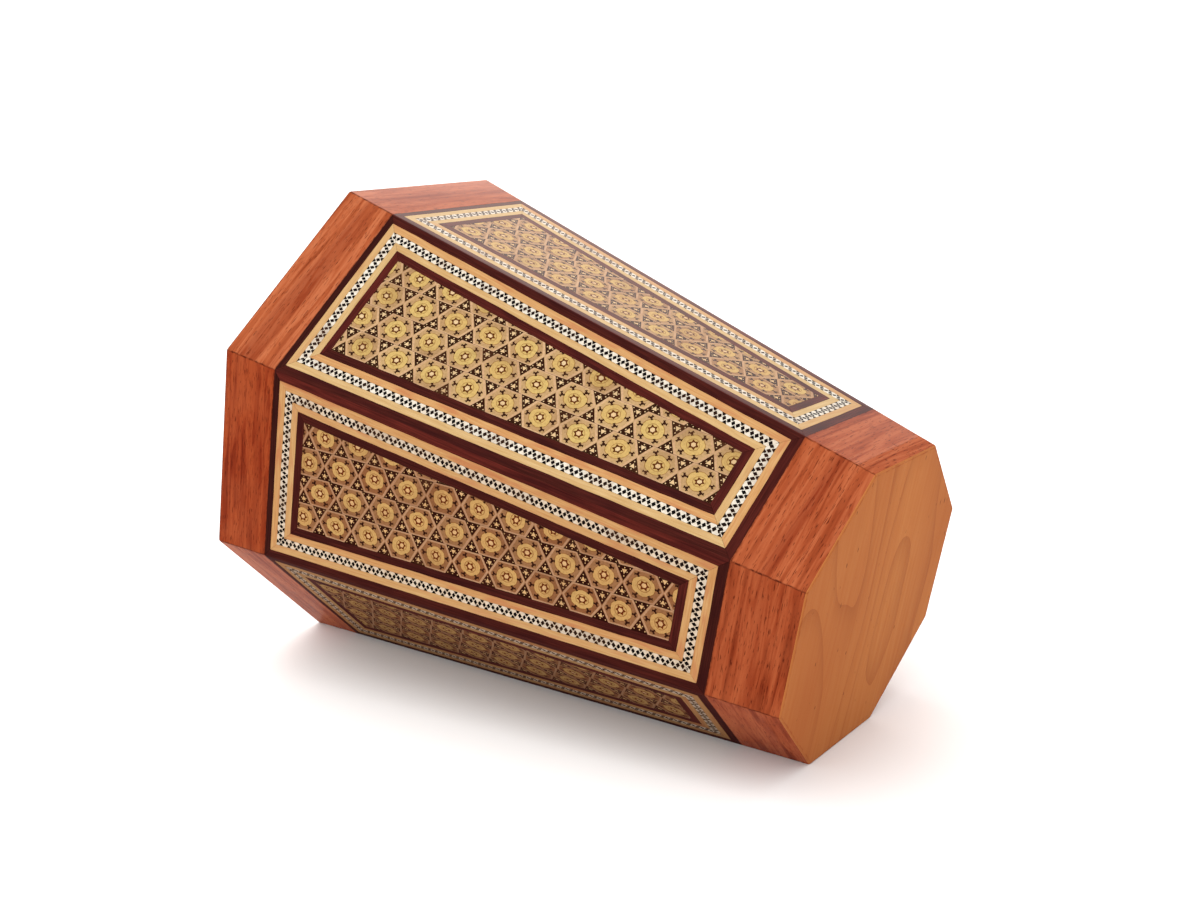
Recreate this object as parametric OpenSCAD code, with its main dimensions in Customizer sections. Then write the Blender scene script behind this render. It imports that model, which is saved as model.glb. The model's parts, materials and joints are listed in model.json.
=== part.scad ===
// Octagonal tapered vessel of mitred wooden boards, with a framed mosaic panel let into
// each of its eight sides. It lies on one side. +Z is up, +X runs along the vessel from
// its open mouth to its closed narrow end, and the origin is the middle of its footprint.

/* [Body] */
// Length of the vessel along its own axis, from the underside of the base to the rim
body_length = 120; // [100:1:160]
// Distance across the flats of the octagon at the mouth
mouth_flats = 99; // [85:1:120]
// Distance across the flats of the octagon at the closed end
base_flats = 57; // [52:1:70]
// Thickness of the eight wall boards
wall_t = 6; // [4:0.5:8]
// Thickness of the base board, which covers the ends of the walls
base_t = 3.5; // [2.5:0.5:6]

/* [Plain bands] */
// Height of bare wood between the rim and the inlay, up the slope
mouth_band = 12.2; // [8:0.1:20]
// Height of bare wood between the underside and the inlay, up the slope
base_band = 13.7; // [8:0.1:20]

/* [Inlay] */
// Thickness of the inlay, and depth of the rebate it is glued into
inlay_t = 1.2; // [0.6:0.1:2]
// Width of the dark outer border along the corners of the vessel
border_side = 1.7; // [1:0.1:2.5]
// Width of the dark outer border at its mouth end
border_mouth = 1.4; // [1:0.1:2.5]
// Width of the dark outer border at its base end
border_base = 1.8; // [1:0.1:2.5]
// Width of the pale line inside the outer border
outer_line_w = 1.5; // [1:0.05:2]
// Width of the black and white chain
chain_w = 1.75; // [1:0.05:2]
// Width of the pale line inside the chain
inner_line_w = 1.4; // [1:0.05:2]
// Width of the dark border around the mosaic
inner_border_w = 1.65; // [1:0.05:2]
// Hairline left between two strips that meet at a mitre
mitre_gap = 0.04; // [0.02:0.01:0.1]

/* [Lining] */
// Thickness of the felt that lines the inside
felt_t = 1; // [0.5:0.1:2]
// Distance from the rim down to the edge of the side lining
felt_drop = 1.5; // [0:0.5:6]

/* [Hidden] */
SIDES = 8;
step_deg = 360 / SIDES;
half_deg = step_deg / 2;
mouth_apothem = mouth_flats / 2;
base_apothem = base_flats / 2;
taper = atan((mouth_apothem - base_apothem) / body_length);
slope_length = body_length / cos(taper);
// Distance well beyond every surface, for the blocks that cut
far = 2 * (body_length + mouth_flats);
// Middle of the lying vessel's length, measured from the centre of its underside
lying_middle = (base_apothem - mouth_apothem) * sin(taper) / 2 - body_length * cos(taper) / 2;

// Widths of the four rings inside the outer border, from outside in
ring_widths = [outer_line_w, chain_w, inner_line_w, inner_border_w];
inlay_low = base_band;
inlay_high = slope_length - mouth_band;

WALLS = [for (i = [1:SIDES]) str("wall_", i)];
BORDERS = [for (i = [1:SIDES]) str("outer_border_", i)];
OUTER_LINES = [for (i = [1:SIDES]) str("outer_line_", i)];
CHAINS = [for (i = [1:SIDES]) str("chain_", i)];
INNER_LINES = [for (i = [1:SIDES]) str("inner_line_", i)];
INNER_BORDERS = [for (i = [1:SIDES]) str("inner_border_", i)];
MOSAICS = [for (i = [1:SIDES]) str("mosaic_", i)];

// Sum of the first n ring widths
function ring_sum(n) = n <= 0 ? 0 : ring_widths[n - 1] + ring_sum(n - 1);

// Half the width of a side at a distance z up its slope
function half_width(z) = tan(half_deg) * (base_apothem + z * sin(taper));

// How much longer a strip's width is when measured level instead of square to the corner
edge_lean = 1 / cos(atan(tan(half_deg) * sin(taper)));

// Corner of the nested frame number n, 0 being the outside of the dark outer border:
// up is -1 at the base end and 1 at the mouth end, across is -1 or 1
function frame_corner(n, across, up) =
    let (side = n == 0 ? 0 : border_side + ring_sum(n - 1))
    let (end = n == 0 ? 0 : (up > 0 ? border_mouth : border_base) + ring_sum(n - 1))
    let (z = up > 0 ? inlay_high - end : inlay_low + end)
    [across * (half_width(z) - side * edge_lean), z];

// Stands a vessel-shaped child on one of its sides, with its closed end towards +X
module lie_down() {
    translate([-lying_middle, 0, base_apothem * cos(taper)])
        rotate([0, taper - 90, 0])
            children();
}

// Turns a child that is made for the side facing +X to side number i
module at_side(i) {
    rotate([0, 0, step_deg * (i - 1)])
        children();
}

// Leans a child over, so that its x = 0 plane is the side's outer surface and z runs up it
module lean() {
    translate([base_apothem, 0, 0])
        rotate([0, taper, 0])
            children();
}

// The eighth of the vessel that belongs to one side, between two mitre planes
module sector(low, high) {
    translate([0, 0, low])
        linear_extrude(high - low)
            polygon([[0, 0], [far, -far * tan(half_deg)], [far, far * tan(half_deg)]]);
}

// A leaning slab parallel to a side, from depth outer to depth inner under its surface
module slab(outer, inner) {
    lean()
        translate([-inner, -far / 2, -far / 2])
            cube([inner - outer, far, far]);
}

// A flat shape drawn on a side: x is across it and y is up its slope
module on_surface(depth) {
    lean()
        rotate([90, 0, 90])
            translate([0, 0, -depth])
                linear_extrude(depth)
                    children();
}

// Everything within a depth under all eight sides' outer surfaces, from low to high
module inside_sides(depth, low, high) {
    intersection() {
        translate([-far / 2, -far / 2, low])
            cube([far, far, high - low]);
        intersection_for (i = [1:SIDES])
            at_side(i)
                slab(depth, far);
    }
}

// One long or short strip of a ring, cut back at its mitres
module strip(outer_a, outer_b, inner_b, inner_a) {
    offset(delta = -mitre_gap / 2)
        polygon([outer_a, outer_b, inner_b, inner_a]);
}

module wall(i) {
    color([0.66, 0.30, 0.16])
        lie_down()
            at_side(i)
                difference() {
                    intersection() {
                        sector(base_t, body_length);
                        slab(0, wall_t);
                    }
                    lean()
                        translate([-inlay_t, -far / 2, inlay_low])
                            cube([far, far, inlay_high - inlay_low]);
                }
}

// The four strips between nested frames n and n + 1 of a side
module ring(i, n) {
    lie_down()
        at_side(i)
            intersection() {
                sector(0, body_length);
                on_surface(inlay_t)
                    union() {
                        for (s = [-1, 1]) {
                            strip(frame_corner(n, s, -1), frame_corner(n, s, 1),
                                  frame_corner(n + 1, s, 1), frame_corner(n + 1, s, -1));
                            strip(frame_corner(n, -1, s), frame_corner(n, 1, s),
                                  frame_corner(n + 1, 1, s), frame_corner(n + 1, -1, s));
                        }
                    }
            }
}

module outer_border(i) {
    color([0.22, 0.06, 0.06])
        ring(i, 0);
}

module outer_line(i) {
    color([0.89, 0.68, 0.42])
        ring(i, 1);
}

module chain(i) {
    color([0.80, 0.78, 0.72])
        ring(i, 2);
}

module inner_line(i) {
    color([0.86, 0.74, 0.50])
        ring(i, 3);
}

module inner_border(i) {
    color([0.25, 0.08, 0.07])
        ring(i, 4);
}

module mosaic(i) {
    color([0.77, 0.66, 0.43])
        lie_down()
            at_side(i)
                on_surface(inlay_t)
                    offset(delta = -mitre_gap / 2)
                        polygon([frame_corner(5, -1, -1), frame_corner(5, 1, -1),
                                 frame_corner(5, 1, 1), frame_corner(5, -1, 1)]);
}

module base_board() {
    color([0.78, 0.52, 0.32])
        lie_down()
            inside_sides(0, 0, base_t);
}

module side_lining() {
    color([0.07, 0.06, 0.06])
        lie_down()
            difference() {
                inside_sides(wall_t, base_t + felt_t, body_length - felt_drop);
                inside_sides(wall_t + felt_t, base_t, body_length);
            }
}

module base_lining() {
    color([0.07, 0.06, 0.06])
        lie_down()
            inside_sides(wall_t, base_t, base_t + felt_t);
}

for (i = [1:SIDES]) {
    wall(i);
    outer_border(i);
    outer_line(i);
    chain(i);
    inner_line(i);
    inner_border(i);
    mosaic(i);
}
base_board();
side_lining();
base_lining();
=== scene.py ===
import json
import math
import random

import bmesh
import bpy
from mathutils import Matrix, Vector, noise
from mathutils.geometry import convex_hull_2d, delaunay_2d_cdt


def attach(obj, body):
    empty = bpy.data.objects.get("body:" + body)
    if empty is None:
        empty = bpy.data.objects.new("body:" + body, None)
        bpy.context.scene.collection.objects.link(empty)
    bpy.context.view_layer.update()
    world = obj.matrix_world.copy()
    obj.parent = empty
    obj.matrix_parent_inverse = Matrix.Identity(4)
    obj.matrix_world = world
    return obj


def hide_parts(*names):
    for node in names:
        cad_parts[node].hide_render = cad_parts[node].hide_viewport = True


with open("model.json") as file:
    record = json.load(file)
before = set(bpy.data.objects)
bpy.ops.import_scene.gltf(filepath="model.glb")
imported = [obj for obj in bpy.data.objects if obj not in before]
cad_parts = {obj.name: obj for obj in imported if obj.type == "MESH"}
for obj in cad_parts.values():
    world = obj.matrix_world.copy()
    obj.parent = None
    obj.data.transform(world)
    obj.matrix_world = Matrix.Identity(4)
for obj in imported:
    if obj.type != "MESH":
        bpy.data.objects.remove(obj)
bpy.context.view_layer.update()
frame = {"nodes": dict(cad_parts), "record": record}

# Everything below is modelled in millimetres, and placed in metres at the end.
MM = 0.001

# ---------------------------------------------------------------- the part's own dimensions
SIDES = 8
BODY_LENGTH = 120.0
MOUTH_APOTHEM = 99.0 / 2
BASE_APOTHEM = 57.0 / 2
WALL_T = 6.0
BASE_T = 3.5
INLAY_T = 1.2
INLAY_LOW = 13.7
MOUTH_BAND = 12.2
FELT_T = 1.0
FELT_DROP = 1.5

HALF_ANGLE = math.pi / SIDES
SIDE_TAN = math.tan(HALF_ANGLE)
TAPER = math.atan((MOUTH_APOTHEM - BASE_APOTHEM) / BODY_LENGTH)
INLAY_HIGH = BODY_LENGTH / math.cos(TAPER) - MOUTH_BAND

# ---------------------------------------------------------------- how worn and hand-made it is
ARRIS_RADIUS = 0.65
RIM_RADIUS = 0.6
BASE_RADIUS = 0.35
JOINT_GAP = 0.05
JOINT_CHAMFER = 0.07
# Distances from an arris at which a surface gets a column of vertices
ARRIS_STEPS = (0.0, 0.06, 0.13, 0.2, 0.3)
ARRIS_REACH = ARRIS_RADIUS * SIDE_TAN
# Slow and quick waver of the inlay's lines
WAVER = ((0.085, 7.0), (0.03, 1.3))
WAVER_FADE = 1.5
STRIP_STEP = 1.2
# How much lacquer is left on each side, and on the ends. In the inlay's table a low value also
# paints shade: side 6 is darkened towards brown.
GLOSS_AND_SHADE = {1: 1.8, 6: 0.2}
WALL_GLOSS = {1: 1.5, 6: 0.75}
DULL = 0.5


def vessel_matrix():
    """Where the vessel lies: its own z runs from the underside of its base to its mouth."""
    mount = next(m for m in frame["record"]["mounts"] if m["name"] == "base_underside")
    up = -Vector(mount["axis"])
    out = Vector((up.z, 0, -up.x))
    turn = Matrix((out, (0, 1, 0), up)).transposed().to_4x4()
    return Matrix.Translation(mount["pos_m"]) @ turn @ Matrix.Scale(MM, 4)


VESSEL = vessel_matrix()


def side_matrix(side):
    """A side's own frame: x is outward, y across it and z up its slope."""
    turn = Matrix.Rotation(2 * HALF_ANGLE * (side - 1), 4, "Z")
    lean = Matrix.Rotation(TAPER, 4, "Y")
    return VESSEL @ turn @ Matrix.Translation((BASE_APOTHEM, 0, 0)) @ lean


def half_width(up, depth=0.0):
    """Half a side's width at a distance up its slope and a depth under its surface."""
    return SIDE_TAN * (BASE_APOTHEM + up * math.sin(TAPER) - depth * math.cos(TAPER))


def up_at(height, depth):
    """How far up the slope a vessel height is met, at a depth under the surface."""
    return (height - depth * math.sin(TAPER)) / math.cos(TAPER)


def arris_drop(distance):
    """How far a worn arris lies under the flat surface, at a distance from it."""
    if distance >= ARRIS_REACH:
        return 0.0
    return ARRIS_RADIUS - math.sqrt(ARRIS_RADIUS**2 - (ARRIS_REACH - max(distance, 0)) ** 2)


def wavered(across, up):
    """A point on a side, moved as the hand-laid inlay wavers. The rebate's edge stays put."""
    edge = min(up - INLAY_LOW, INLAY_HIGH - up, half_width(up) - abs(across))
    fade = max(0.0, min(1.0, edge / WAVER_FADE))
    for reach, wave in WAVER:
        push = noise.noise_vector(Vector((across / wave, up / wave, wave)))
        across += reach * fade * push.x
        up += reach * fade * push.y
    return across, up


def on_side(across, up):
    """A point of the inlay's polished surface in the side's own frame."""
    across, up = wavered(across, up)
    return Vector((-arris_drop(half_width(up) - abs(across)), across, up))


# ---------------------------------------------------------------- building pieces
class Piece:
    """Collects one piece's vertices and faces, in millimetres, and what its materials read."""

    def __init__(self, matrix, gloss_and_shade=DULL):
        self.matrix = matrix
        self.gloss_and_shade = gloss_and_shade
        self.places = []
        self.grain = []
        self.wear = []
        self.faces = []
        self.kinds = []
        self.tints = []

    def point(self, place, grain, wear=10.0):
        self.places.append(self.matrix @ Vector(place))
        self.grain.append(grain)
        self.wear.append(wear)
        return len(self.places) - 1

    def face(self, corners, kind=0, tint=0.5):
        self.faces.append(tuple(corners))
        self.kinds.append(kind)
        self.tints.append(tint)

    def band(self, loop_a, loop_b, kind=0, tint=0.5):
        """A ring of quads between two closed loops of the same length."""
        for k in range(len(loop_a)):
            n = (k + 1) % len(loop_a)
            self.face((loop_a[k], loop_a[n], loop_b[n], loop_b[k]), kind, tint)

    def finish(self, name, materials, replaced, smooth=None):
        """Makes the object, which stands for the CAD nodes replaced and rides on the body."""
        mesh = bpy.data.meshes.new(name)
        mesh.from_pydata(self.places, [], self.faces)
        for material in materials:
            mesh.materials.append(material)
        mesh.polygons.foreach_set("material_index", self.kinds)
        vectors = mesh.attributes.new("grain", "FLOAT_VECTOR", "POINT")
        vectors.data.foreach_set("vector", [c for g in self.grain for c in g])
        wears = mesh.attributes.new("wear", "FLOAT", "POINT")
        wears.data.foreach_set("value", self.wear)
        tints = mesh.attributes.new("tint", "FLOAT", "FACE")
        tints.data.foreach_set("value", self.tints)
        gloss_and_shade_layer = mesh.attributes.new("gloss_and_shade", "FLOAT", "FACE")
        gloss_and_shade_layer.data.foreach_set("value", [self.gloss_and_shade] * len(self.faces))
        if smooth:
            mesh.shade_smooth()
            mesh.set_sharp_from_angle(angle=math.radians(smooth))
        mesh.validate()
        made = bpy.data.objects.new(name, mesh)
        bpy.context.scene.collection.objects.link(made)
        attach(made, "root")
        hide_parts(*replaced)
        return made


def outlines(node, side):
    """Each solid's outline on a side's surface, as (across, up) points, anticlockwise."""
    shape = bmesh.new()
    shape.from_mesh(frame["nodes"][node].data)
    bmesh.ops.remove_doubles(shape, verts=shape.verts, dist=1e-7)
    bmesh.ops.transform(shape, matrix=side_matrix(side).inverted(), verts=shape.verts)
    found = []
    left = set(shape.verts)
    while left:
        group = {left.pop()}
        todo = list(group)
        while todo:
            for edge in todo.pop().link_edges:
                for vertex in edge.verts:
                    if vertex not in group:
                        group.add(vertex)
                        todo.append(vertex)
        left -= group
        flat = [v.co.yz for v in group if abs(v.co.x) < 0.01]
        found.append([flat[k].copy() for k in convex_hull_2d(flat)])
    shape.free()
    return found


def corners_from_longest(outline):
    """Four corners, with the longest edge between the first two."""
    if len(outline) != 4:
        middle = sum(outline, Vector((0, 0))) / len(outline)
        bends = [
            (outline[k] - outline[k - 1]).angle_signed(outline[(k + 1) % len(outline)] - outline[k])
            for k in range(len(outline))
        ]
        keep = sorted(range(len(outline)), key=lambda k: -abs(bends[k]))[:4]
        outline = [outline[k] for k in sorted(keep)]
    lengths = [(outline[(k + 1) % 4] - outline[k]).length for k in range(4)]
    first = lengths.index(max(lengths))
    return [outline[(first + k) % 4] for k in range(4)]


def place_of(outline):
    """Which strip of a frame this is: base, mouth, or the left or right long side."""
    middle = sum(outline, Vector((0, 0))) / len(outline)
    spans = [max(p[k] for p in outline) - min(p[k] for p in outline) for k in (0, 1)]
    if spans[1] > 2 * spans[0]:
        return "left" if middle.x < 0 else "right"
    return "base" if middle.y < (INLAY_LOW + INLAY_HIGH) / 2 else "mouth"


def plate(piece, corners, shares, grain_seed, kind=0, tint=0.5):
    """A strip let into a side: a fine grid on top, straight sides and a flat bottom.
    shares are the rows across it, from 0 at its longest edge to 1 at the opposite one."""
    a, b, c, d = corners
    columns = max(2, round((b - a).length / STRIP_STEP))
    width = ((d - a).length + (c - b).length) / 2
    grid = []
    for k in range(columns + 1):
        u = k / columns
        row = []
        for w in shares:
            flat = a.lerp(b, u).lerp(d.lerp(c, u), w)
            grain = (u * (b - a).length + grain_seed, w * width, grain_seed)
            row.append(piece.point(on_side(flat.x, flat.y), grain))
        grid.append(row)
    for k in range(columns):
        for w in range(len(shares) - 1):
            piece.face(
                (grid[k][w], grid[k + 1][w], grid[k + 1][w + 1], grid[k][w + 1]), kind, tint
            )
    rim = [row[0] for row in grid] + grid[-1][1:]
    rim += [row[-1] for row in reversed(grid[:-1])] + grid[0][-2:0:-1]
    under = []
    to_side = piece.matrix.inverted()
    for k in rim:
        place = to_side @ piece.places[k]
        place.x = -INLAY_T
        under.append(piece.point(place, piece.grain[k]))
    piece.band(under, rim, kind, tint)
    piece.face(reversed(under), kind, tint)


# ---------------------------------------------------------------- material helpers
# How much brighter the studio's light makes a surface look than its own colour
EXPOSURE = 1.75


def srgb(red, green, blue):
    """The surface colour that looks like these 0 to 255 display values in the studio."""
    shares = [c / 255 for c in (red, green, blue)]
    linear = [c / 12.92 if c <= 0.04 else ((c + 0.055) / 1.055) ** 2.4 for c in shares]
    return tuple(c / EXPOSURE for c in linear) + (1.0,)


class Shader:
    """One material and its node tree, with short ways to add nodes."""

    def __init__(self, name):
        self.material = bpy.data.materials.new(name)
        self.material.use_nodes = True
        self.tree = self.material.node_tree
        self.surface = self.tree.nodes["Principled BSDF"]
        self.grain = self.node("Attribute", attribute_name="grain").outputs["Vector"]
        self.tint = self.node("Attribute", attribute_name="tint").outputs["Fac"]
        self.wear = self.node("Attribute", attribute_name="wear").outputs["Fac"]

    def node(self, kind, inputs=None, **settings):
        made = self.tree.nodes.new("ShaderNode" + kind)
        for key, value in settings.items():
            setattr(made, key, value)
        for key, value in (inputs or {}).items():
            if isinstance(value, bpy.types.NodeSocket):
                self.tree.links.new(value, made.inputs[key])
            else:
                made.inputs[key].default_value = value
        return made

    def noise(self, scale, detail=2.0, roughness=0.5, offset=0.0, distortion=0.0):
        """Noise over the grain coordinates. scale is cycles per millimetre, each way."""
        place = self.node(
            "Mapping",
            {"Vector": self.grain, "Scale": scale, "Location": (offset, offset, offset)},
        ).outputs["Vector"]
        return self.node(
            "TexNoise",
            {"Vector": place, "Scale": 1.0, "Detail": detail, "Roughness": roughness,
             "Distortion": distortion},
        ).outputs["Fac"]

    def ramp(self, value, stops, interpolation="LINEAR"):
        """A colour or a grey for each place along value."""
        made = self.node("ValToRGB", {"Fac": value})
        made.color_ramp.interpolation = interpolation
        elements = made.color_ramp.elements
        while len(elements) < len(stops):
            elements.new(0.5)
        for element, (position, colour) in zip(elements, stops):
            element.position = position
            if not isinstance(colour, tuple):
                colour = (colour, colour, colour, 1.0)
            element.color = colour
        return made.outputs["Color"]

    def mix(self, share, low, high, blend="MIX"):
        made = self.node("Mix", data_type="RGBA", blend_type=blend)
        for index, value in ((0, share), (6, low), (7, high)):
            if isinstance(value, bpy.types.NodeSocket):
                self.tree.links.new(value, made.inputs[index])
            else:
                made.inputs[index].default_value = value
        return made.outputs[2]

    def maths(self, operation, first, second=0.0, third=0.0):
        return self.node(
            "Math", {0: first, 1: second, 2: third}, operation=operation
        ).outputs[0]

    def range(self, value, low, high, to_low=0.0, to_high=1.0):
        """value, spread from low..high to to_low..to_high, and kept within them."""
        return self.node(
            "MapRange",
            {"Value": value, "From Min": low, "From Max": high, "To Min": to_low,
             "To Max": to_high},
        ).outputs["Result"]

    def bump(self, height, distance_mm, strength=1.0):
        made = self.node(
            "Bump", {"Height": height, "Distance": distance_mm * MM, "Strength": strength}
        )
        self.tree.links.new(made.outputs["Normal"], self.surface.inputs["Normal"])

    def set(self, **values):
        """Links or sets inputs of the surface shader, by name with _ for a space."""
        for key, value in values.items():
            socket = self.surface.inputs[key.replace("_", " ")]
            if isinstance(value, bpy.types.NodeSocket):
                self.tree.links.new(value, socket)
            else:
                socket.default_value = value


def lacquer(m, weight, roughness):
    """The clear finish over a wood: hardly seen face on, and a sheen at a glancing angle."""
    facing = m.node("LayerWeight", {"Blend": 0.5}).outputs["Facing"]
    gloss_and_shade = m.node("Attribute", attribute_name="gloss_and_shade").outputs["Fac"]
    sheen = m.range(facing, 0.28, 0.58, 0.12 * weight, weight)
    m.set(Specular_IOR_Level=0.0, Coat_Roughness=roughness, Coat_IOR=1.36)
    m.set(Coat_Weight=m.maths("MULTIPLY", sheen, gloss_and_shade))


def painted_side_shade(m, colour):
    """Painted shade on a side with a low gloss value, side 6, turned down to the floor: its colour
    mixed towards dark brown.
    """
    gloss_and_shade = m.node("Attribute", attribute_name="gloss_and_shade").outputs["Fac"]
    # The dark brown is painted shade, strongest where the gloss value is lowest
    return m.mix(m.range(gloss_and_shade, 0.45, 0.2, 0.0, 0.42), colour, srgb(88, 46, 32))


def stained_beech():
    """Red-brown stain on beech: streaks, growth bands and short dark ray flecks. A board's
    tint runs from 0, dark and red, to 1, light and orange."""
    m = Shader("stained_beech")
    streaks = m.noise((0.045, 0.62, 0.5), detail=5.0, roughness=0.56, distortion=0.9)
    bands = m.noise((0.014, 0.2, 0.1), detail=2.0, offset=31.0, distortion=0.9)
    dark = m.ramp(streaks, [
        (0.34, srgb(122, 38, 18)),
        (0.46, srgb(154, 58, 29)),
        (0.58, srgb(178, 78, 40)),
        (0.70, srgb(142, 50, 25)),
    ])
    light = m.ramp(streaks, [
        (0.34, srgb(160, 74, 40)),
        (0.46, srgb(190, 98, 58)),
        (0.58, srgb(212, 124, 82)),
        (0.70, srgb(176, 84, 48)),
    ])
    colour = m.mix(m.tint, dark, light)
    colour = m.mix(m.range(bands, 0.5, 0.64, 0.0, 0.5), colour, srgb(138, 48, 25))
    cloud = m.noise((0.07, 0.07, 0.07), detail=2.0, offset=77.0)
    colour = m.mix(m.range(cloud, 0.45, 0.7, 0.0, 0.35), colour, srgb(204, 112, 70))
    flecks = m.noise((0.5, 5.2, 2.0), detail=1.0, offset=13.0)
    fleck_share = m.range(flecks, 0.64, 0.68, 0.0, 0.8)
    colour = m.mix(fleck_share, colour, srgb(92, 30, 16))
    near_edge = m.range(m.wear, 0.03, 0.24, 1.0, 0.0)
    ragged = m.noise((0.9, 0.9, 0.9), detail=3.0, offset=5.0)
    line = m.maths("MULTIPLY", near_edge, m.range(ragged, 0.38, 0.6, 0.2, 1.0))
    colour = m.mix(line, colour, srgb(74, 22, 14))
    m.set(Base_Color=colour, Roughness=m.range(streaks, 0.3, 0.7, 0.34, 0.5))
    lacquer(m, 0.28, 0.2)
    height = m.maths("SUBTRACT", streaks, m.maths("MULTIPLY", fleck_share, 0.6))
    m.bump(height, 0.05)
    return m.material


def bare_beech():
    """Pale beech with a few wide growth rings and specks. The walls' stain has run a
    little over its edge."""
    m = Shader("bare_beech")
    rings = m.noise((0.012, 0.03, 0.05), detail=1.0, offset=3.0, distortion=0.5)
    ring = m.maths("FRACT", m.maths("MULTIPLY", rings, 9.0))
    late = m.maths("POWER", ring, 5.0)
    fine = m.noise((0.05, 1.1, 0.5), detail=4.0, roughness=0.6)
    cloud = m.noise((0.016, 0.03, 0.05), detail=1.0, offset=19.0)
    colour = m.ramp(fine, [(0.3, srgb(210, 128, 68)), (0.7, srgb(224, 148, 84))])
    colour = m.mix(m.range(cloud, 0.42, 0.62, 0.0, 0.6), colour, srgb(188, 104, 56))
    colour = m.mix(m.maths("MULTIPLY", late, 0.45), colour, srgb(160, 84, 44))
    # Painted shade: the end is darker towards its side that faces the floor
    across = m.node("SeparateXYZ", {"Vector": m.grain}).outputs["X"]
    colour = m.mix(m.range(across, 24.0, -24.0, 0.0, 0.4), colour, srgb(176, 92, 48))
    specks = m.noise((0.5, 1.6, 1.0), detail=0.0, offset=41.0)
    colour = m.mix(m.range(specks, 0.80, 0.84, 0.0, 0.7), colour, srgb(96, 50, 26))
    ragged = m.noise((0.6, 0.6, 0.6), detail=3.0, offset=5.0)
    reach = m.maths("SUBTRACT", m.maths("MULTIPLY", ragged, 1.1), 0.42)
    run = m.range(m.maths("SUBTRACT", m.wear, reach), -0.15, 0.1, 0.7, 0.0)
    colour = m.mix(run, colour, srgb(168, 82, 42))
    m.set(Base_Color=colour, Roughness=m.range(fine, 0.3, 0.7, 0.4, 0.55))
    lacquer(m, 0.2, 0.3)
    m.bump(fine, 0.03)
    return m.material


def dark_wood():
    """The borders: dark wood, streaked along each strip, redder as its tint rises."""
    m = Shader("dark_border")
    streaks = m.noise((0.12, 3.2, 1.0), detail=4.0, roughness=0.6)
    cloud = m.noise((0.1, 0.4, 0.3), detail=2.0, offset=9.0)
    dark = m.ramp(streaks, [(0.3, srgb(40, 16, 13)), (0.72, srgb(76, 34, 28))])
    red = m.ramp(streaks, [(0.3, srgb(70, 26, 22)), (0.72, srgb(116, 46, 38))])
    colour = m.mix(m.tint, dark, red)
    colour = m.mix(m.range(cloud, 0.45, 0.7, 0.0, 0.6), colour, srgb(52, 18, 20))
    m.set(Base_Color=colour, Roughness=m.range(streaks, 0.3, 0.7, 0.28, 0.42))
    lacquer(m, 0.28, 0.12)
    m.bump(streaks, 0.015)
    return m.material


def pale_wood():
    """The pale lines: tint 0 is yellow wood, and tint 1 orange wood with pink patches."""
    m = Shader("pale_line")
    streaks = m.noise((0.16, 2.6, 1.0), detail=4.0, roughness=0.6)
    patches = m.noise((0.14, 0.5, 0.4), detail=2.0, offset=17.0)
    yellow = m.ramp(streaks, [(0.3, srgb(206, 168, 110)), (0.7, srgb(228, 196, 142))])
    orange = m.ramp(streaks, [(0.3, srgb(204, 144, 88)), (0.7, srgb(226, 176, 118))])
    orange = m.mix(m.range(patches, 0.48, 0.66, 0.0, 0.6), orange, srgb(200, 120, 80))
    colour = m.mix(m.tint, yellow, orange)
    # On side 6 this colour is darkened towards brown as painted shade
    m.set(Base_Color=painted_side_shade(m, colour), Roughness=m.range(streaks, 0.3, 0.7, 0.3, 0.42))
    lacquer(m, 0.28, 0.12)
    m.bump(streaks, 0.012)
    return m.material


def tile(name, brown, yellow):
    """One kind of mosaic tile, from brown at tint 0 to yellow at tint 1, with end grain."""
    m = Shader(name)
    pores = m.noise((2.4, 2.4, 1.0), detail=3.0, roughness=0.6)
    colour = m.mix(m.tint, srgb(*brown), srgb(*yellow))
    shade = m.ramp(pores, [(0.25, 0.66), (0.6, 1.0)])
    colour = m.mix(0.8, colour, shade, "MULTIPLY")
    grime = m.noise((0.11, 0.11, 0.1), detail=3.0, offset=23.0)
    colour = m.mix(m.range(grime, 0.5, 0.7, 0.0, 0.3), colour, srgb(110, 66, 40))
    # On side 6 this colour is darkened towards brown as painted shade
    m.set(Base_Color=painted_side_shade(m, colour), Roughness=m.range(pores, 0.3, 0.7, 0.28, 0.45))
    lacquer(m, 0.28, 0.12)
    m.bump(pores, 0.01)
    return m.material


def black_paint():
    """The painted rim: black over the wood, rubbed a little where it is handled."""
    m = Shader("black_paint")
    brush = m.noise((0.2, 1.5, 0.8), detail=3.0)
    rubbed = m.noise((0.4, 0.4, 0.4), detail=4.0, offset=8.0)
    colour = m.ramp(brush, [(0.3, srgb(18, 14, 13)), (0.7, srgb(34, 26, 23))])
    colour = m.mix(m.range(rubbed, 0.64, 0.72, 0.0, 0.6), colour, srgb(74, 40, 26))
    m.set(Base_Color=colour, Roughness=m.range(brush, 0.3, 0.7, 0.4, 0.6))
    lacquer(m, 0.3, 0.3)
    m.bump(brush, 0.03)
    return m.material


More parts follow.
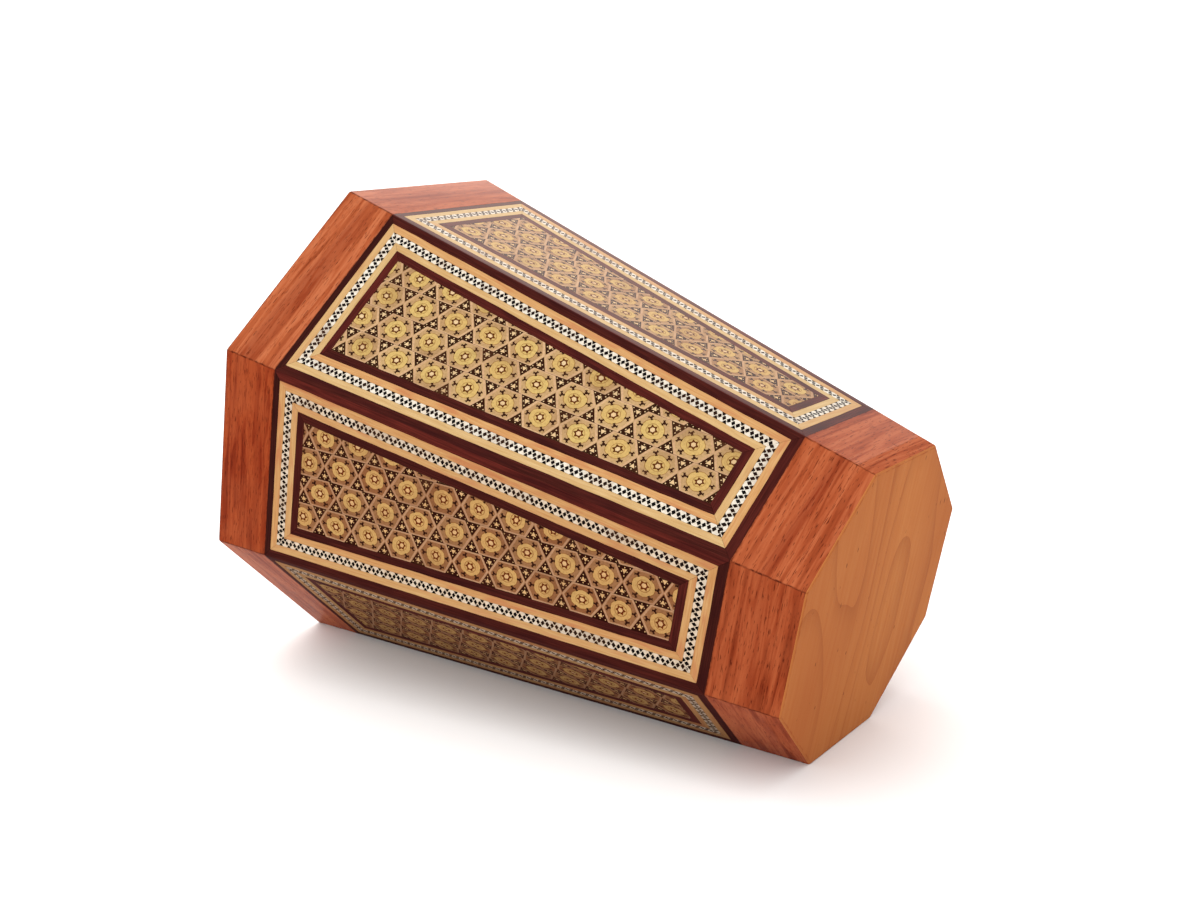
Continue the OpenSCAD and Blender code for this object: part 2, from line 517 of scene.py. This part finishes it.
def black_felt():
    """Short-fibred felt: matted fibres, flattened patches and a little lint."""
    m = Shader("black_felt")
    fibres = m.noise((1.5, 1.5, 1.5), detail=6.0, roughness=0.75, distortion=0.8)
    strands = m.noise((0.5, 2.6, 0.5), detail=4.0, roughness=0.7, distortion=2.5)
    nap = m.noise((0.07, 0.07, 0.07), detail=3.0, offset=29.0)
    lint = m.noise((0.7, 3.2, 0.7), detail=1.0, offset=51.0, distortion=1.5)
    matted = m.maths("MULTIPLY_ADD", strands, 0.5, m.maths("MULTIPLY", fibres, 0.5))
    colour = m.ramp(matted, [(0.36, srgb(14, 13, 14)), (0.5, srgb(40, 37, 38)),
                             (0.64, srgb(78, 73, 74))])
    colour = m.mix(m.range(nap, 0.4, 0.65, 0.0, 0.6), colour, srgb(24, 22, 24))
    colour = m.mix(m.range(lint, 0.70, 0.73, 0.0, 0.55), colour, srgb(124, 116, 108))
    m.set(Base_Color=colour, Roughness=m.range(matted, 0.3, 0.7, 0.9, 1.0))
    m.set(Specular_IOR_Level=0.0, Sheen_Weight=0.06, Sheen_Roughness=0.6)
    m.bump(matted, 0.6)
    return m.material


STAINED = stained_beech()
BARE = bare_beech()
DARK = dark_wood()
PALE = pale_wood()
PAINT = black_paint()
FELT = black_felt()
GROUND, GOLD, LINE, CREAM, STAR, BLACK, SHADE = range(7)
TILES = [
    tile("tile_ground", (154, 98, 62), (214, 176, 124)),
    tile("tile_gold", (216, 166, 102), (226, 192, 118)),
    tile("tile_line", (192, 142, 106), (226, 184, 140)),
    tile("tile_cream", (236, 184, 124), (246, 214, 164)),
    tile("tile_star", (112, 44, 16), (100, 56, 20)),
    tile("tile_black", (50, 18, 10), (58, 32, 18)),
    tile("tile_shade", (146, 86, 44), (170, 128, 68)),
]
BONE, EBONY = range(2)
CHAIN = [
    tile("tile_bone", (240, 214, 184), (255, 246, 228)),
    tile("tile_ebony", (22, 12, 10), (16, 14, 14)),
]


# ---------------------------------------------------------------- tiles cut from outlines
def regular(count, radius, x=0.0, y=0.0, turn=0.0, squash=1.0, inner=None):
    """A regular polygon, or a star where inner gives the radius of its notches."""
    steps = count if inner is None else 2 * count
    points = []
    for k in range(steps):
        reach = inner if inner is not None and k % 2 else radius
        angle = turn + 2 * math.pi * k / steps
        points.append((x + reach * math.cos(angle), y + squash * reach * math.sin(angle)))
    return points


def cut_cell(width, height, outlined):
    """Cuts a rectangle about the origin along every outline in outlined, a list of
    (kind, points) with the topmost last. Gives its points, and for each face its corners,
    its kind and the middle of the outline it belongs to."""
    cell = [(-width / 2, -height / 2), (width / 2, -height / 2),
            (width / 2, height / 2), (-width / 2, height / 2)]
    shapes = [(0, cell)] + outlined
    points = []
    faces = []
    for kind, outline in shapes:
        corners = list(range(len(points), len(points) + len(outline)))
        twice_area = sum(
            outline[k - 1][0] * p[1] - outline[k - 1][1] * p[0] for k, p in enumerate(outline)
        )
        faces.append(corners if twice_area > 0 else corners[::-1])
        points += [Vector(p) for p in outline]
    cut = delaunay_2d_cdt(points, [], faces, 4, 1e-6, True)
    kept = []
    for corners, owners in zip(cut[2], cut[5]):
        if 0 in owners:
            top = max(owners)
            outline = shapes[top][1]
            middle = tuple(sum(p[k] for p in outline) / len(outline) for k in (0, 1))
            kept.append((tuple(corners), shapes[top][0], middle))
    return [Vector(p) for p in cut[0]], kept


# The mosaic's motif, in shares of its pitch along the row
PITCH = 7.77
ROW_HEIGHT = 5.74
ROW_GAP = 0.05
CELL_HEIGHT = ROW_HEIGHT / PITCH
HEX_SLOPE = math.radians(60)
SQUASH = 0.86


def trimmed_hexagon(reach, top):
    """A hexagon with a corner at each side, its top and bottom cut off level."""
    in_by = top / math.tan(HEX_SLOPE)
    return [(-reach, 0), (-reach + in_by, -top), (reach - in_by, -top),
            (reach, 0), (reach - in_by, top), (-reach + in_by, top)]


def trefoil(x, y):
    """Three small dark marks that meet at a point."""
    towards = math.atan2(y, x)
    marks = [(BLACK, regular(6, 0.040, x, y, squash=0.9))]
    for k in range(3):
        turn = towards + math.pi / 3 + k * 2 * math.pi / 3
        end = 0.074
        half = 0.038
        along = (math.cos(turn), math.sin(turn) * 0.9)
        beside = (-math.sin(turn), math.cos(turn) * 0.9)
        marks.append((BLACK, [
            (x, y),
            (x + end * along[0] + half * beside[0], y + end * along[1] + half * beside[1]),
            (x + end * along[0] - half * beside[0], y + end * along[1] - half * beside[1]),
        ]))
    return marks


def dotted_triangle(x, side):
    """A dark triangle that points at the touching point x from above or below, with a pale
    triangle in its middle and a dot at each corner and halfway along each edge."""
    tip = 0.034
    top = CELL_HEIGHT / 2
    half = (top - tip) * 0.63
    middle = tip + (top - tip) * 0.64
    shapes = [(BLACK, [(x, side * tip), (x + half, side * top), (x - half, side * top)])]
    shapes.append((CREAM, [(x, side * (middle - 0.066)), (x - 0.064, side * (middle + 0.038)),
                           (x + 0.064, side * (middle + 0.038))]))
    corners = ((0.0, tip + 0.105), (-half * 0.66, top - 0.045), (half * 0.66, top - 0.045))
    for k, (cx, cy) in enumerate(corners):
        after = corners[(k + 1) % 3]
        for share in (0.0, 0.5):
            dot_x = cx + share * (after[0] - cx)
            dot_y = cy + share * (after[1] - cy)
            shapes.append((CREAM, regular(4, 0.0185, x + dot_x, side * dot_y)))
    return shapes


def rosette():
    """One cell of the mosaic: a hexagon about the origin, and half triangles beside it."""
    shapes = [(LINE, trimmed_hexagon(0.5, CELL_HEIGHT / 2)),
              (GROUND, trimmed_hexagon(0.5 - 0.056, CELL_HEIGHT / 2 - 0.034))]
    shapes.append((SHADE, regular(12, 0.300, squash=SQUASH)))
    shapes.append((GOLD, regular(12, 0.284, squash=SQUASH)))
    shapes.append((SHADE, regular(12, 0.164, squash=SQUASH + 0.06)))
    shapes.append((GOLD, regular(12, 0.150, squash=SQUASH + 0.06)))
    shapes.append((STAR, regular(6, 0.142, inner=0.086, squash=0.93)))
    for k in range(6):
        angle = (k + 0.5) * math.pi / 3
        shapes.append((GOLD, regular(
            6, 0.017, 0.106 * math.cos(angle), 0.099 * math.sin(angle))))
    shapes.append((CREAM, regular(6, 0.062, squash=0.95)))
    for k in range(6):
        angle = k * math.pi / 3
        shapes += trefoil(0.342 * math.cos(angle), 0.286 * math.sin(angle))
    for x in (-0.5, 0.5):
        for side in (-1, 1):
            shapes += dotted_triangle(x, side)
    return cut_cell(1.0, CELL_HEIGHT, shapes)


# The chain's motif, in shares of its pitch
CHAIN_PITCH = 1.91
CHAIN_HEIGHT = 1.8 / CHAIN_PITCH


def chain_cell():
    """One cell of the chain: a fine black zigzag with a rhombus on the middle of each arm
    and a triangle at each turn, between white tiles."""
    top = CHAIN_HEIGHT / 2
    line = 0.022
    shapes = []
    for end in (-1, 1):
        shapes.append((EBONY, [(-line, top), (line, top),
                               (end * 0.5 + line, -top), (end * 0.5 - line, -top)]))
        shapes.append((EBONY, [(end * 0.25 - 0.22, 0), (end * 0.25, -0.27),
                               (end * 0.25 + 0.22, 0), (end * 0.25, 0.27)]))
        shapes.append((EBONY, [(end * 0.5 - 0.26, -top), (end * 0.5 + 0.26, -top),
                               (end * 0.5, 0.36 - top)]))
    shapes.append((EBONY, [(-0.26, top), (0.26, top), (0, top - 0.36)]))
    return cut_cell(1.0, CHAIN_HEIGHT, shapes)


# How unevenly tiles are laid, and over what distance, both in shares of their pitch
UNEVEN = 0.045
UNEVEN_REACH = 0.45


def hand_laid(flat, seed, pitch, height):
    """How far a tile's corner is out of place. It is nothing at the row's two edges, where
    height is -1 and 1."""
    at = Vector((flat.x, flat.y, seed)) / (pitch * UNEVEN_REACH)
    return noise.noise_vector(at).xy * (UNEVEN * pitch * (1 - height * height))


def tiled_plate(piece, cell, pitch, start, along, phase, outline, seed, tone):
    """Lays copies of a cell in a row inside a convex outline and makes a plate of them.
    start is a point on the row's middle line, and along the way that the row runs. tone
    is the lowest and the highest tint that a tile may have."""
    points, faces = cell
    edge = max(p.y for p in points)
    across = Vector((-along.y, along.x))
    reach = [(p - start).dot(along) / pitch - phase for p in outline]
    chance = random.Random(seed)
    tints = {}
    shape = bmesh.new()
    tint_layer = shape.faces.layers.float.new("tint")
    for n in range(math.floor(min(reach)), math.ceil(max(reach)) + 1):
        made = []
        for p in points:
            flat = start + along * ((n + phase + p.x) * pitch) + across * (p.y * pitch)
            flat += hand_laid(flat, seed, pitch, p.y / edge)
            made.append(shape.verts.new((0, flat.x, flat.y)))
        for corners, kind, middle in faces:
            key = (kind, round((n + middle[0]) * 500), round(middle[1] * 500))
            if key not in tints:
                tints[key] = chance.uniform(*tone)
            face = shape.faces.new([made[k] for k in corners])
            face.material_index = kind
            face[tint_layer] = tints[key]
    bmesh.ops.remove_doubles(shape, verts=shape.verts, dist=2e-4)
    for k, corner in enumerate(outline):
        edge = outline[(k + 1) % len(outline)] - corner
        bmesh.ops.bisect_plane(
            shape, geom=shape.verts[:] + shape.edges[:] + shape.faces[:], dist=1e-5,
            plane_co=(0, corner.x, corner.y), plane_no=(0, edge.y, -edge.x),
            clear_outer=True)
    if not shape.faces:
        shape.free()
        return
    index = {}
    for vertex in shape.verts:
        flat = vertex.co.yz
        grain = ((flat - start).dot(along) + seed, (flat - start).dot(across), seed)
        index[vertex] = piece.point(on_side(flat.x, flat.y), grain)
    flip = next(iter(shape.faces)).normal.x < 0
    for face in shape.faces:
        corners = [index[v] for v in face.verts]
        piece.face(corners[::-1] if flip else corners, face.material_index, face[tint_layer])
    close_under(piece, shape, index, flip)
    shape.free()


def close_under(piece, shape, index, flip):
    """Gives a flat patch its straight sides and its bottom."""
    following = {}
    for edge in shape.edges:
        if edge.is_boundary:
            loop = edge.link_loops[0]
            first, second = loop.vert, loop.link_loop_next.vert
            if flip:
                first, second = second, first
            following[first] = second
    to_side = piece.matrix.inverted()
    while following:
        first = next(iter(following))
        ring = [first]
        while ring[-1] in following:
            ring.append(following.pop(ring[-1]))
        ring.pop()
        if len(ring) < 3:
            continue
        rim = [index[v] for v in ring]
        under = []
        for k in rim:
            place = to_side @ piece.places[k]
            place.x = -INLAY_T
            under.append(piece.point(place, piece.grain[k]))
        piece.band(under, rim)
        piece.face(reversed(under))


# ---------------------------------------------------------------- the wooden body
def columns_at(edge):
    """Places across a side from one arris to the other, close together at each arris."""
    near = [edge - step for step in ARRIS_STEPS]
    return [-x for x in near] + [0.0] + near[::-1]


def rim_profile():
    """Inset and height under the rim of each row round the rim's rounded edges."""
    steps = 4
    rows = []
    for k in range(steps + 1):
        angle = math.pi / 2 * k / steps
        rows.append((RIM_RADIUS * (1 - math.cos(angle)), RIM_RADIUS * (1 - math.sin(angle))))
    return rows


# Each wall's stain at its mouth and at its base, from 0, dark and red, to 1, light
WALL_TONES = {1: (0.65, 0.6), 2: (0.5, 0.6), 3: (0.3, 0.4), 4: (0.6, 0.5), 5: (0.4, 0.4),
              6: (0.5, 0.35), 7: (0.05, 0.3), 8: (0.85, 0.55)}
EDGE_STEP = 0.5
EDGE_INSET = 0.06
# How far one wall's grain is moved from the next one's, so that no two are alike
GRAIN_SHIFT = 40.0


def wall(side):
    """One wall board: mitred, rebated for the inlay, its rim rounded and painted."""
    piece = Piece(side_matrix(side), WALL_GLOSS.get(side, DULL))
    low = BASE_T
    rows = [
        (JOINT_CHAMFER, up_at(low, JOINT_CHAMFER), WALL_T, up_at(low, WALL_T)),
        (0.0, up_at(low + JOINT_CHAMFER, 0), WALL_T, up_at(low + JOINT_CHAMFER, WALL_T)),
        (0.0, INLAY_LOW - EDGE_STEP, WALL_T, INLAY_LOW - EDGE_STEP),
        (0.0, INLAY_LOW, WALL_T, INLAY_LOW),
        (INLAY_T, INLAY_LOW, WALL_T, INLAY_LOW + 0.2),
        (INLAY_T, INLAY_HIGH, WALL_T, INLAY_HIGH - 0.2),
        (0.0, INLAY_HIGH, WALL_T, INLAY_HIGH),
        (0.0, INLAY_HIGH + EDGE_STEP, WALL_T, INLAY_HIGH + EDGE_STEP),
    ]
    for inset, under in rim_profile():
        height = BODY_LENGTH - under
        rows.append((inset, up_at(height, inset), WALL_T - inset, up_at(height, WALL_T - inset)))
    grain_seed = GRAIN_SHIFT * side
    loops = []
    for outer, outer_up, inner, inner_up in rows:
        loop = []
        for depth, up in ((outer, outer_up), (inner, inner_up)):
            edge = half_width(up, depth) - JOINT_GAP / 2
            places = columns_at(edge)
            from_inlay = min(abs(up - INLAY_LOW), abs(up - INLAY_HIGH)) + EDGE_INSET
            if depth == inner:
                places.reverse()
            for across in places:
                distance = edge - abs(across)
                drop = arris_drop(distance) if depth == outer else 0.0
                grain = (across + grain_seed, up + grain_seed, depth)
                wear = min(distance, from_inlay)
                loop.append(piece.point((-depth - drop, across, up), grain, wear))
        loops.append(loop)
    half = len(loops[0]) // 2
    painted_from = len(rows) - 4
    for r in range(len(rows) - 1):
        a, b = loops[r], loops[r + 1]
        for k in range(len(a)):
            n = (k + 1) % len(a)
            kind = 1 if r >= painted_from or half <= k < 2 * half - 1 else 0
            tone = WALL_TONES[side][0 if rows[r][1] > BODY_LENGTH / 2 else 1]
            piece.face((a[k], a[n], b[n], b[k]), kind, tone)
    for loop, kind in ((loops[0], 0), (loops[-1], 1)):
        for k in range(half - 1):
            corners = (loop[k], loop[k + 1], loop[2 * half - 2 - k], loop[2 * half - 1 - k])
            piece.face(corners if kind else corners[::-1], kind)
    return piece.finish(f"wall_board_{side}", [STAINED, PAINT],
                        [f"wall_{side}"], smooth=32)


def octagon_loop(piece, apothem, height, as_wall):
    """A loop of points round the vessel, with its corners worn as the arrises are. Its grain
    goes on from the walls', or else lies flat across the base."""
    loop = []
    edge = apothem * SIDE_TAN
    for side in range(1, SIDES + 1):
        turn = Matrix.Rotation(2 * HALF_ANGLE * (side - 1), 3, "Z")
        for across in columns_at(edge)[:-1]:
            distance = edge - abs(across)
            place = turn @ Vector((apothem - arris_drop(distance), across, height))
            grain = (place.x, place.y, height)
            if as_wall:
                grain = (across + GRAIN_SHIFT * side, up_at(height, 0) + GRAIN_SHIFT * side, 0)
            loop.append(piece.point(place, grain, distance))
    return loop


# How far over the base's edge the stain may have run
RUN_REACH = 1.2
# How many bands of faces under the walls are stained as the walls are
STAINED_BANDS = 3


def base_board():
    """The board across the narrow end. Its edge is stained like the walls."""
    piece = Piece(VESSEL)
    rise = math.tan(TAPER)
    levels = [(JOINT_CHAMFER, BASE_T), (0.0, BASE_T - JOINT_CHAMFER)]
    steps = 4
    for k in range(steps + 1):
        angle = math.pi / 2 * k / steps
        levels.append((BASE_RADIUS * (1 - math.cos(angle)), BASE_RADIUS * (1 - math.sin(angle))))
    loops = [
        octagon_loop(piece, BASE_APOTHEM + height * rise - inset, height, k <= STAINED_BANDS)
        for k, (inset, height) in enumerate(levels)
    ]
    for k in range(len(loops) - 1):
        piece.band(loops[k + 1], loops[k], 0 if k < STAINED_BANDS else 1)
    per_side = len(loops[0]) // SIDES
    for k in range(STAINED_BANDS * len(loops[0])):
        side = 1 + k % len(loops[0]) // per_side
        piece.tints[k] = WALL_TONES[side][1]
    piece.face(loops[0])
    ring = []
    for k in loops[-1]:
        flat = VESSEL.inverted() @ piece.places[k]
        across = Vector((flat.x, flat.y, 0))
        place = across * (1 - RUN_REACH / across.length)
        ring.append(piece.point(place, (place.x, place.y, 0), RUN_REACH))
        piece.wear[k] = 0.0
    piece.band(ring, loops[-1], 1)
    piece.face(reversed(ring), 1)
    return piece.finish("base_panel", [STAINED, BARE], ["base_board"], smooth=32)


# ---------------------------------------------------------------- the felt lining
FELT_ROWS = 30
FELT_WAVER = 0.14


def felt_loop(piece, apothem, height, soft):
    """A loop of the lining, its columns spread evenly and its surface a little uneven."""
    loop = []
    count = 10
    edge = apothem * SIDE_TAN
    for side in range(SIDES):
        turn = Matrix.Rotation(2 * HALF_ANGLE * side, 3, "Z")
        for k in range(count):
            across = edge * (2 * k / count - 1)
            place = turn @ Vector((apothem, across, height))
            bulge = noise.noise(place / 6) + 0.5 * noise.noise(place / 2)
            place -= turn @ Vector((soft * FELT_WAVER * abs(bulge), 0, 0))
            grain = (edge * 2 * (side + k / count), height, 0)
            loop.append(piece.point(place, grain))
    return loop


def side_felt():
    """Eight panels of felt round the inside, cut as one fan and glued in."""
    piece = Piece(VESSEL)
    rise = math.tan(TAPER)
    outer_in = WALL_T / math.cos(TAPER)
    low, high = BASE_T + FELT_T, BODY_LENGTH - FELT_DROP
    outer = []
    inner = []
    for k in range(FELT_ROWS + 1):
        height = low + (high - low) * k / FELT_ROWS
        wall_face = BASE_APOTHEM + height * rise - outer_in
        outer.append(felt_loop(piece, wall_face, height, 0))
        inner.append(felt_loop(piece, wall_face - FELT_T * 0.9, height, 1))
    lip_face = BASE_APOTHEM + high * rise - outer_in
    lip = felt_loop(piece, lip_face - FELT_T * 0.45, high + 0.25, 0)
    for k in range(FELT_ROWS):
        piece.band(outer[k], outer[k + 1])
        piece.band(inner[k + 1], inner[k])
    piece.band(outer[-1], lip)
    piece.band(lip, inner[-1])
    piece.band(inner[0], outer[0])
    felt = piece.finish("felt_sides", [FELT], ["side_lining"], smooth=50)
    return felt


def base_felt():
    """An octagon of felt on the inside of the base."""
    piece = Piece(VESSEL)
    apothem = BASE_APOTHEM + BASE_T * math.tan(TAPER) - WALL_T / math.cos(TAPER)
    under = felt_loop(piece, apothem, BASE_T, 0)
    rings = []
    count = 9
    for k in range(count):
        share = 1 - 0.98 * k / (count - 1)
        ring = felt_loop(piece, (apothem - 0.05) * share, BASE_T + FELT_T * 0.85, 0)
        rings.append(ring)
    piece.band(under, rings[0])
    for k in range(count - 1):
        piece.band(rings[k], rings[k + 1])
    piece.face(rings[-1])
    piece.face(reversed(under))
    felt = piece.finish("felt_base", [FELT], ["base_lining"], smooth=50)
    return felt


# ---------------------------------------------------------------- the inlay
# How orange each strip's wood is, from 0, yellow, to 1, and how far a side departs from it
OUTER_TINTS = {"mouth": 0.45, "right": 0.9, "left": 0.1, "base": 0.8}
INNER_TINTS = {"mouth": 0.15, "right": 0.2, "left": 0.85, "base": 0.35}
# Sides 7 and 6 depart towards the darker orange as painted shade
SIDE_TINTS = {1: -0.3, 7: 0.6, 6: 0.6}
# How red a side's dark borders are beyond the usual, and its border next to the side above. Side
# 1's redder borders are a painted pink reflection on the top side; the reddest strip is a painted
# red sheen along the arris with the side above.
BORDER_TINTS = {1: 0.5}
REDDEST = (7, "right")
# From bone to white, the tints of a side's chain. Sides 6 and 7 are held at the darker bone end as
# painted shade.
CHAIN_TONE = (0.55, 1.0)
CHAIN_TONES = {6: (0.0, 0.3), 7: (0.0, 0.4)}
LINE_ROWS = (0.0, 0.5, 1.0)


def frame_of_strips(kind, node, side, material, tints=None, shares=LINE_ROWS):
    """A mitred frame of four strips, as one piece of four plates."""
    piece = Piece(side_matrix(side), GLOSS_AND_SHADE.get(side, DULL))
    chance = random.Random(100 * side + len(kind))
    for outline in outlines(node, side):
        where = place_of(outline)
        corners = corners_from_longest(outline)
        rows = shares
        if kind == "outer_border" and where in ("left", "right"):
            width = (corners[3] - corners[0]).length
            rows = [step / width for step in ARRIS_STEPS] + [0.6, 1.0]
        tint = chance.uniform(0.0, 0.5) + BORDER_TINTS.get(side, 0.0)
        if kind == "inner_border":
            tint += 0.3
        if kind == "outer_border" and (side, where) == REDDEST:
            tint = 1.0
        if tints:
            tint = tints[where] + SIDE_TINTS.get(side, 0.0) + chance.uniform(-0.15, 0.15)
        tint = min(1.0, max(0.0, tint))
        plate(piece, corners, rows, chance.uniform(0, 500), 0, tint)
    return piece.finish(f"{kind}_frame_{side}", [material], [node], smooth=25)


def chain_frame(side, cell):
    """The black and white chain: four strips of small triangles."""
    piece = Piece(side_matrix(side), GLOSS_AND_SHADE.get(side, DULL))
    chance = random.Random(7000 + side)
    for outline in outlines(f"chain_{side}", side):
        a, b, c, d = corners_from_longest(outline)
        start = a.lerp(d, 0.5)
        along = (b - a).normalized()
        middle = (a + b + c + d) / 4
        start = middle - along * (middle - start).dot(along)
        tiled_plate(piece, cell, CHAIN_PITCH, start, along, chance.random(),
                    [a, b, c, d], chance.uniform(0, 500), CHAIN_TONES.get(side, CHAIN_TONE))
    return piece.finish(f"chain_frame_{side}", CHAIN,
                        [f"chain_{side}"], smooth=25)


# The rows of rosettes were laid in pairs, with half a pitch between the two of a pair. This
# is where each pair starts, in shares of the pitch: the pair at the lower edge comes first
PAIR_STARTS = {8: (0.7, 0.5), 7: (0.2, 0.35)}
PAIRS = 2
# The pitch of a side's rosettes, where it was laid a little tighter or looser
PITCHES = {8: 7.9, 7: 7.7}
# From brown to yellow, the tints of a side's mosaic. Sides 7 and 6 are held at the brown end as
# painted shade, and side 8 at the yellow end as painted light; within a side each tile's tint
# differs at random.
TONES = {8: (0.65, 1.0), 7: (0.0, 0.25), 6: (0.0, 0.2), 1: (0.35, 0.7)}
SPREAD = 0.3


def mosaic_panel(side, cell):
    """The mosaic: rows of rosettes laid parallel to one long edge and trimmed to the field."""
    piece = Piece(side_matrix(side), GLOSS_AND_SHADE.get(side, DULL))
    chance = random.Random(900 + side)
    field = outlines(f"mosaic_{side}", side)[0]
    corners = corners_from_longest(field)
    longest = [corners[k] for k in range(4)]
    edges = [(longest[k], longest[(k + 1) % 4]) for k in range(4)]
    low_edge = min(edges, key=lambda e: (e[0].x + e[1].x) / 2)
    mouth_end, base_end = sorted(low_edge, key=lambda p: -p.y)
    along = (base_end - mouth_end).normalized()
    inward = Vector((-along.y, along.x))
    starts = PAIR_STARTS.get(side) or [chance.random() for _ in range(PAIRS)]
    phases = [start + step for start in starts for step in (0.0, 0.5)]
    brownest = chance.uniform(0, 1 - SPREAD)
    tone = TONES.get(side, (brownest, brownest + SPREAD))
    for row, phase in enumerate(phases):
        low = row * ROW_HEIGHT + ROW_GAP / 2
        high = (row + 1) * ROW_HEIGHT - ROW_GAP / 2
        far = 2 * BODY_LENGTH
        band = [mouth_end + along * s + inward * t
                for s, t in ((-far, low), (far, low), (far, high), (-far, high))]
        outline = clipped(band, corners)
        if len(outline) < 3:
            continue
        start = mouth_end + inward * (row + 0.5) * ROW_HEIGHT
        tiled_plate(piece, cell, PITCHES.get(side, PITCH), start, along, phase, outline,
                    60.0 * side + 9 * row, tone)
    return piece.finish(f"mosaic_panel_{side}", TILES, [f"mosaic_{side}"], smooth=25)


def clipped(subject, window):
    """The part of one convex outline inside another, both anticlockwise."""
    found = list(subject)
    for k, corner in enumerate(window):
        edge = window[(k + 1) % len(window)] - corner
        inside = [edge.cross(p - corner) > 0 for p in found]
        cut = []
        for n, point in enumerate(found):
            after = (n + 1) % len(found)
            if inside[n]:
                cut.append(point)
            if inside[n] != inside[after]:
                step = found[after] - point
                share = edge.cross(corner - point) / edge.cross(step)
                cut.append(point + step * share)
        found = cut
    return found


rosette_cell = rosette()
link_cell = chain_cell()
for side in range(1, SIDES + 1):
    wall(side)
    frame_of_strips("outer_border", f"outer_border_{side}", side, DARK)
    frame_of_strips("outer_line", f"outer_line_{side}", side, PALE, OUTER_TINTS)
    chain_frame(side, link_cell)
    frame_of_strips("inner_line", f"inner_line_{side}", side, PALE, INNER_TINTS)
    frame_of_strips("inner_border", f"inner_border_{side}", side, DARK)
    mosaic_panel(side, rosette_cell)
base_board()
side_felt()
base_felt()


# ---------------------------------------------------------------- floor, lights and camera
CAMERA_PLACE = Vector((0.16189, -0.21199, 0.11936))
CAMERA_AZIMUTH = math.radians(37.484)
CAMERA_ELEVATION = math.radians(15.182)
CAMERA_LENS = 41.117


FLOOR_LOW = (0.80, 0.785, 0.775, 1.0)
FLOOR_HIGH = (0.82, 0.805, 0.795, 1.0)


def white_floor():
    """A plain white sweep, far larger than the view."""
    m = Shader("white_floor")
    place = m.node("TexCoord").outputs["Object"]
    mottle = m.node("TexNoise", {"Vector": place, "Scale": 3.0, "Detail": 2.0}).outputs["Fac"]
    m.set(Base_Color=m.ramp(mottle, [(0.3, FLOOR_LOW), (0.7, FLOOR_HIGH)]), Roughness=0.9)
    mesh = bpy.data.meshes.new("floor")
    shape = bmesh.new()
    bmesh.ops.create_grid(shape, x_segments=8, y_segments=8, size=6.0)
    shape.to_mesh(mesh)
    shape.free()
    mesh.materials.append(m.material)
    floor = bpy.data.objects.new("floor", mesh)
    bpy.context.scene.collection.objects.link(floor)


# The studio: white walls up to a height, a dimmer ceiling, and a window high on the left
WALL_LIGHT = 1.85
CEILING_LIGHT = 0.97
WALL_TOP = (0.31, 0.45)
WINDOW_LIGHT = 1.7
WINDOW_COLOUR = (1.0, 0.84, 0.78, 1.0)
WINDOW_WAY = (-0.60, 0.62, 0.50)
WINDOW_EDGE = (math.cos(math.radians(34)), math.cos(math.radians(10)))


def white_world():
    """The studio round the object, as a sky whose light depends on the direction."""
    world = bpy.data.worlds.new("studio")
    world.use_nodes = True
    tree = world.node_tree
    way = tree.nodes.new("ShaderNodeTexCoord").outputs["Generated"]
    height = tree.nodes.new("ShaderNodeSeparateXYZ")
    tree.links.new(way, height.inputs[0])
    walls = tree.nodes.new("ShaderNodeMapRange")
    tree.links.new(height.outputs["Z"], walls.inputs["Value"])
    facing = tree.nodes.new("ShaderNodeVectorMath")
    facing.operation = "DOT_PRODUCT"
    tree.links.new(way, facing.inputs[0])
    facing.inputs[1].default_value = Vector(WINDOW_WAY).normalized()
    window = tree.nodes.new("ShaderNodeMapRange")
    window.interpolation_type = "SMOOTHSTEP"
    tree.links.new(facing.outputs["Value"], window.inputs["Value"])
    for node, spread, ends in ((walls, WALL_TOP, (WALL_LIGHT, CEILING_LIGHT)),
                               (window, WINDOW_EDGE, (0.0, WINDOW_LIGHT))):
        node.inputs["From Min"].default_value = spread[0]
        node.inputs["From Max"].default_value = spread[1]
        node.inputs["To Min"].default_value = ends[0]
        node.inputs["To Max"].default_value = ends[1]
    both = tree.nodes.new("ShaderNodeMath")
    both.operation = "ADD"
    tree.links.new(walls.outputs["Result"], both.inputs[0])
    tree.links.new(window.outputs["Result"], both.inputs[1])
    colour = tree.nodes.new("ShaderNodeMix")
    colour.data_type = "RGBA"
    tree.links.new(window.outputs["Result"], colour.inputs[0])
    colour.inputs[6].default_value = (1.0, 1.0, 1.0, 1.0)
    colour.inputs[7].default_value = WINDOW_COLOUR
    tree.links.new(colour.outputs[2], tree.nodes["Background"].inputs["Color"])
    tree.links.new(both.outputs[0], tree.nodes["Background"].inputs["Strength"])
    bpy.context.scene.world = world


def soft_key(name, towards, spread, strength):
    """A huge soft light: a bright disc, spread degrees across, in the direction towards."""
    light = bpy.data.lights.new(name, "SUN")
    light.angle = math.radians(spread)
    light.energy = strength
    lamp = bpy.data.objects.new(name, light)
    lamp.rotation_mode = "QUATERNION"
    lamp.rotation_quaternion = Vector(towards).to_track_quat("Z", "Y")
    bpy.context.scene.collection.objects.link(lamp)


def camera():
    made = bpy.data.objects.new("camera", bpy.data.cameras.new("camera"))
    made.data.lens = CAMERA_LENS
    made.data.sensor_width = 36.0
    made.data.clip_start = 0.01
    made.data.clip_end = 50.0
    made.location = CAMERA_PLACE
    made.rotation_euler = (math.pi / 2 - CAMERA_ELEVATION, 0, CAMERA_AZIMUTH)
    bpy.context.scene.collection.objects.link(made)
    bpy.context.scene.camera = made


white_floor()
white_world()
soft_key("overhead", (-0.2, -0.3, 0.93), 75.0, 2.5)
camera()
bpy.context.scene.view_settings.view_transform = "Standard"
